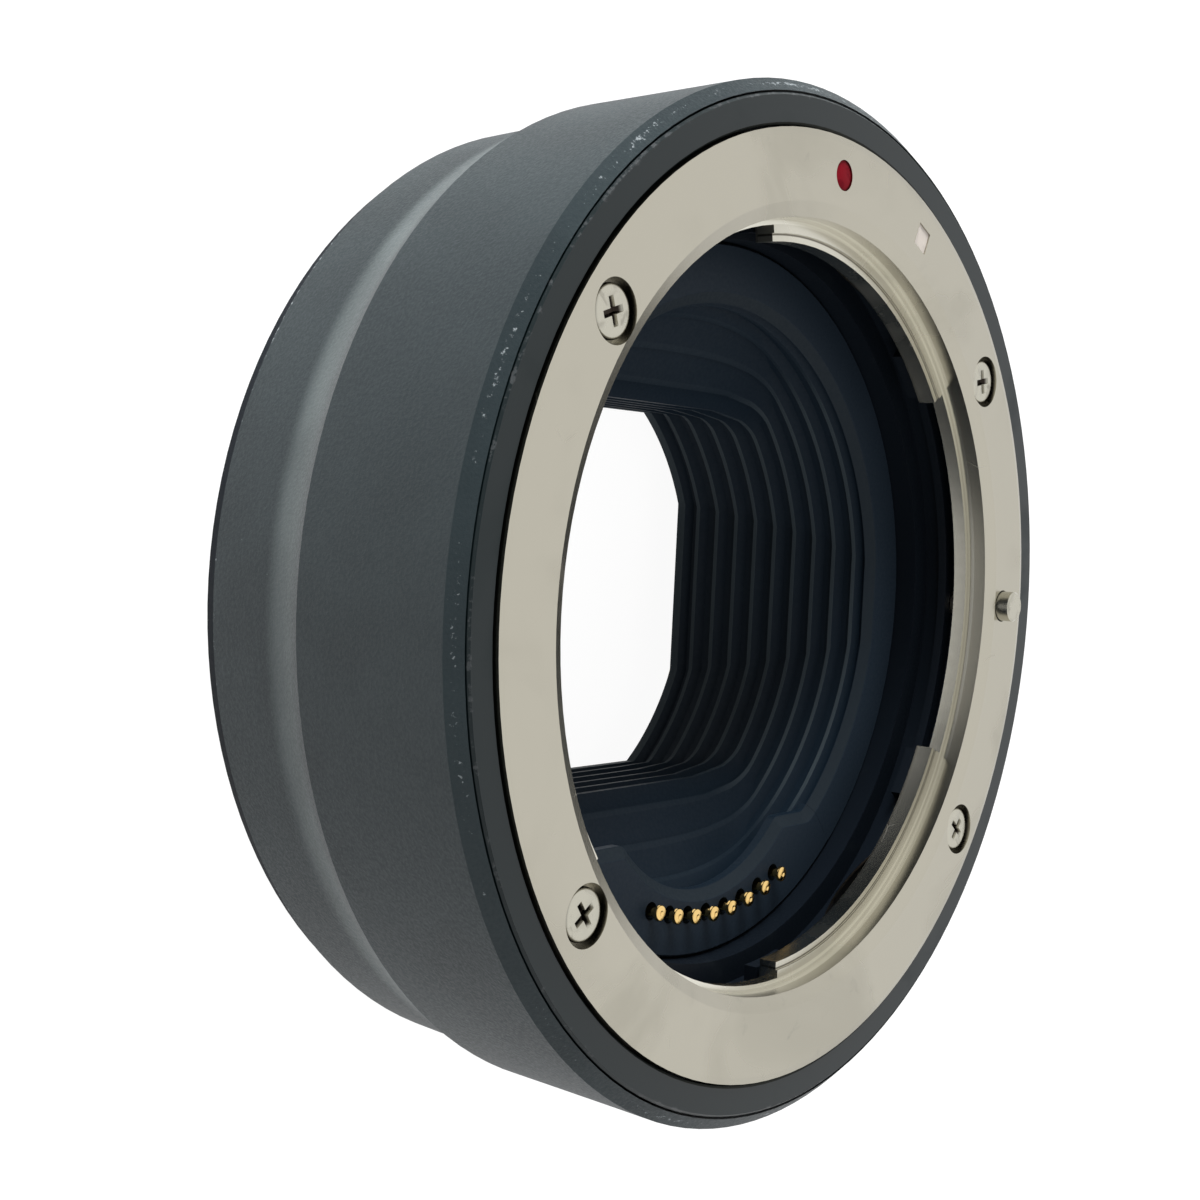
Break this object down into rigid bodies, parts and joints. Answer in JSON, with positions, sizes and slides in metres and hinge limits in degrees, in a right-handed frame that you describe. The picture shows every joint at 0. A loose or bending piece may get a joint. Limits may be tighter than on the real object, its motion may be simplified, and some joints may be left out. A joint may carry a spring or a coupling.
{
  "type": "lens mount adapter",
  "caption": "Short tube with a steel bayonet at each end, a ribbed light baffle, sprung contacts and a sliding lens lock.",
  "frame": {"origin": "on the optical axis in the plane of the camera-side flange face", "axes": "+Z along the optical axis towards the lens, +X towards the lock pin, +Y towards the red index"},
  "size_m": [0.0729, 0.0712, 0.0297],
  "materials": {
    "textured_black": "fine textured charcoal paint, worn a little at the front chamfer",
    "trim_grey": "smooth satin dark grey",
    "mount_steel": "satin stainless with faint smudges",
    "screw_steel": "satin steel",
    "screw_black": "blackened steel",
    "red_paint": "crimson index paint",
    "white_paint": "off-white index paint",
    "frame_black": "matt black",
    "baffle_black": "matt light-trap black",
    "knob_black": "satin black",
    "contact_gold": "gold plate",
    "spring_bronze": "bronze spring sheet",
    "circuit_film": "amber polyimide film",
    "board_green": "solder mask"
  },
  "bodies": {
    "housing": {"baffle_screws": "screw_black", "camera_mount_ring": "mount_steel", "camera_mount_screws": "screw_steel", "circuit_board": "board_green", "contact_backing": "frame_black", "flex_circuit": "circuit_film", "front_contact_block": "baffle_black", "front_trim_ring": "trim_grey", "inner_chassis": "frame_black", "leaf_spring_1": "spring_bronze", "leaf_spring_2": "spring_bronze", "leaf_spring_3": "spring_bronze", "lens_mount_ring": "mount_steel", "lens_mount_screws": "screw_steel", "light_baffle": "baffle_black", "lock_spring": "screw_steel", "outer_barrel": "textured_black", "rear_contact_block": "frame_black", "rear_contact_pads": "contact_gold", "rear_flex": "circuit_film", "rear_light_shield": "frame_black", "rear_plate": "frame_black", "rear_plate_screws": "screw_black", "red_index_dot": "red_paint", "shield_screws": "screw_black", "spring_ring": "frame_black", "white_index_square": "white_paint"},
    "lock_release": {"lock_pin": "screw_steel", "pin_carrier": "screw_steel", "release_knob": "knob_black"},
    "contact_1": {"contact_pin_1": "contact_gold"},
    "contact_2": {"contact_pin_2": "contact_gold"},
    "contact_3": {"contact_pin_3": "contact_gold"},
    "contact_4": {"contact_pin_4": "contact_gold"},
    "contact_5": {"contact_pin_5": "contact_gold"},
    "contact_6": {"contact_pin_6": "contact_gold"},
    "contact_7": {"contact_pin_7": "contact_gold"},
    "contact_8": {"contact_pin_8": "contact_gold"}
  },
  "joints": [
    {"name": "lock_release_slide", "type": "slide", "parent": "housing", "child": "lock_release", "axis": [0, 0, -1], "range_m": [0, 0.0018], "stiffness_N_per_m": 400, "springref_m": -0.0012, "deforming": ["lock_spring"]},
    {"name": "contact_1_press", "type": "slide", "parent": "housing", "child": "contact_1", "axis": [0, 0, -1], "range_m": [0, 0.0009], "stiffness_N_per_m": 250, "springref_m": -0.0004},
    {"name": "contact_2_press", "type": "slide", "parent": "housing", "child": "contact_2", "axis": [0, 0, -1], "range_m": [0, 0.0009], "stiffness_N_per_m": 250, "springref_m": -0.0004},
    {"name": "contact_3_press", "type": "slide", "parent": "housing", "child": "contact_3", "axis": [0, 0, -1], "range_m": [0, 0.0009], "stiffness_N_per_m": 250, "springref_m": -0.0004},
    {"name": "contact_4_press", "type": "slide", "parent": "housing", "child": "contact_4", "axis": [0, 0, -1], "range_m": [0, 0.0009], "stiffness_N_per_m": 250, "springref_m": -0.0004},
    {"name": "contact_5_press", "type": "slide", "parent": "housing", "child": "contact_5", "axis": [0, 0, -1], "range_m": [0, 0.0009], "stiffness_N_per_m": 250, "springref_m": -0.0004},
    {"name": "contact_6_press", "type": "slide", "parent": "housing", "child": "contact_6", "axis": [0, 0, -1], "range_m": [0, 0.0009], "stiffness_N_per_m": 250, "springref_m": -0.0004},
    {"name": "contact_7_press", "type": "slide", "parent": "housing", "child": "contact_7", "axis": [0, 0, -1], "range_m": [0, 0.0009], "stiffness_N_per_m": 250, "springref_m": -0.0004},
    {"name": "contact_8_press", "type": "slide", "parent": "housing", "child": "contact_8", "axis": [0, 0, -1], "range_m": [0, 0.0009], "stiffness_N_per_m": 250, "springref_m": -0.0004}
  ]
}
